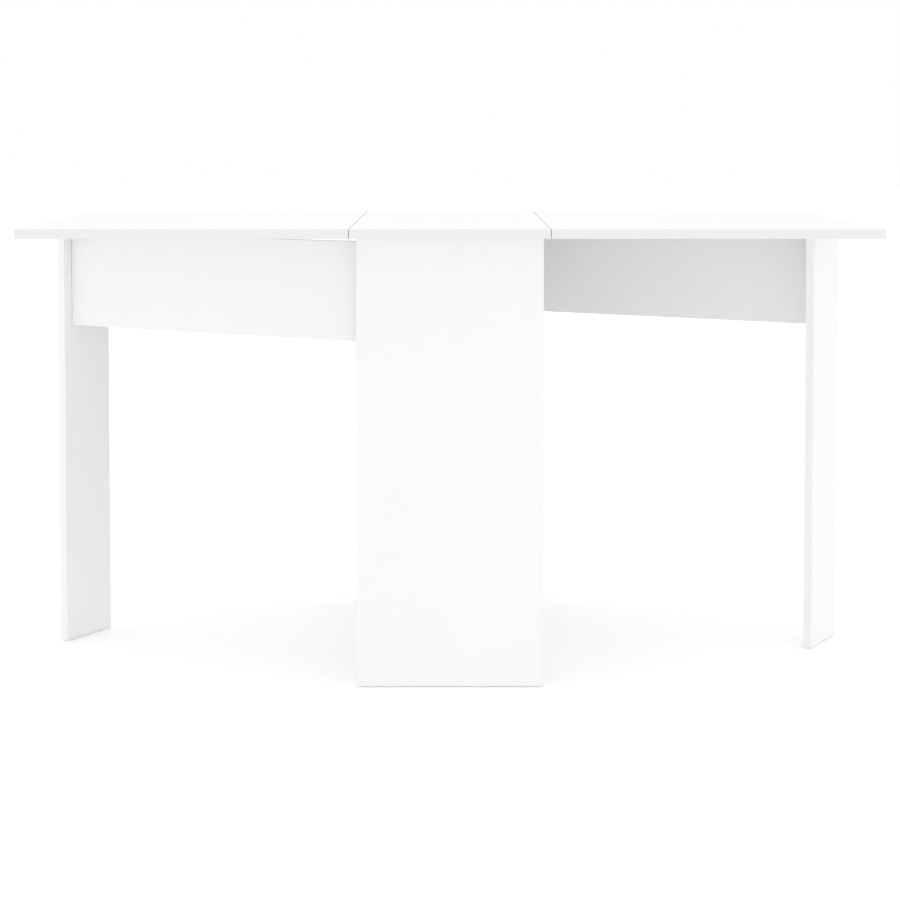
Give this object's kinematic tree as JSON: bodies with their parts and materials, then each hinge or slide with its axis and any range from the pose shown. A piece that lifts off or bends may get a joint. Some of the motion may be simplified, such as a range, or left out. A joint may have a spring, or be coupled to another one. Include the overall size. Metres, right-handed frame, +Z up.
{
  "type": "gateleg table",
  "caption": "White drop-leaf table whose leaves rest on swing-out gates, each a rail with a flat leg, on two end panels joined by a spine.",
  "frame": {"origin": "on the floor, under the centre of the top", "axes": "+X along the table, +Y to the rear, +Z up"},
  "size_m": [1.4, 0.8, 0.758],
  "materials": {
    "white_board": "satin white laminate with matching edge band",
    "nickel_steel": "satin nickel plate",
    "zinc_casting": "dull die-cast zinc",
    "white_nylon": "moulded, matte",
    "beech": "raw turned wood"
  },
  "bodies": {
    "base": {"centre_top": "white_board", "front_lower_cam": "zinc_casting", "front_lower_cam_bolt": "zinc_casting", "front_panel": "white_board", "front_panel_bracket": "nickel_steel", "front_panel_glide_left": "white_nylon", "front_panel_glide_right": "white_nylon", "front_upper_cam": "zinc_casting", "front_upper_cam_bolt": "zinc_casting", "left_gate_hinge_lower_fixed_plate": "nickel_steel", "left_gate_hinge_lower_pin": "nickel_steel", "left_gate_hinge_upper_fixed_plate": "nickel_steel", "left_gate_hinge_upper_pin": "nickel_steel", "left_leaf_hinge_front_fixed_plate": "nickel_steel", "left_leaf_hinge_front_pin": "nickel_steel", "left_leaf_hinge_rear_fixed_plate": "nickel_steel", "left_leaf_hinge_rear_pin": "nickel_steel", "rear_lower_cam": "zinc_casting", "rear_lower_cam_bolt": "zinc_casting", "rear_panel": "white_board", "rear_panel_bracket": "nickel_steel", "rear_panel_glide_left": "white_nylon", "rear_panel_glide_right": "white_nylon", "rear_upper_cam": "zinc_casting", "rear_upper_cam_bolt": "zinc_casting", "right_gate_hinge_lower_fixed_plate": "nickel_steel", "right_gate_hinge_lower_pin": "nickel_steel", "right_gate_hinge_upper_fixed_plate": "nickel_steel", "right_gate_hinge_upper_pin": "nickel_steel", "right_leaf_hinge_front_fixed_plate": "nickel_steel", "right_leaf_hinge_front_pin": "nickel_steel", "right_leaf_hinge_rear_fixed_plate": "nickel_steel", "right_leaf_hinge_rear_pin": "nickel_steel", "spine": "white_board", "spine_bracket_left": "nickel_steel", "spine_bracket_right": "nickel_steel"},
    "left_leaf": {"left_gate_stop": "white_nylon", "left_leaf": "white_board", "left_leaf_hinge_front_moving_plate": "nickel_steel", "left_leaf_hinge_rear_moving_plate": "nickel_steel"},
    "right_leaf": {"right_gate_stop": "white_nylon", "right_leaf": "white_board", "right_leaf_hinge_front_moving_plate": "nickel_steel", "right_leaf_hinge_rear_moving_plate": "nickel_steel"},
    "left_gate": {"left_gate_dowel_lower": "beech", "left_gate_dowel_upper": "beech", "left_gate_glide_inner": "white_nylon", "left_gate_glide_outer": "white_nylon", "left_gate_hinge_lower_moving_plate": "nickel_steel", "left_gate_hinge_upper_moving_plate": "nickel_steel", "left_gate_leg": "white_board", "left_gate_rail": "white_board"},
    "right_gate": {"right_gate_dowel_lower": "beech", "right_gate_dowel_upper": "beech", "right_gate_glide_inner": "white_nylon", "right_gate_glide_outer": "white_nylon", "right_gate_hinge_lower_moving_plate": "nickel_steel", "right_gate_hinge_upper_moving_plate": "nickel_steel", "right_gate_leg": "white_board", "right_gate_rail": "white_board"}
  },
  "joints": [
    {"name": "left_gate_swing", "type": "hinge", "parent": "base", "child": "left_gate", "pos_m": [-0.1338, -0.3237, 0.6515], "axis": [0, 0, -1], "range_deg": [0, 60.5]},
    {"name": "right_gate_swing", "type": "hinge", "parent": "base", "child": "right_gate", "pos_m": [0.1338, 0.3237, 0.6515], "axis": [0, 0, -1], "range_deg": [0, 60.5]},
    {"name": "left_leaf_lift", "type": "hinge", "parent": "base", "child": "left_leaf", "pos_m": [-0.163, 0, 0.7402], "axis": [0, 1, 0], "range_deg": [0, 2]},
    {"name": "right_leaf_lift", "type": "hinge", "parent": "base", "child": "right_leaf", "pos_m": [0.163, 0, 0.7402], "axis": [0, -1, 0], "range_deg": [0, 2]}
  ]
}
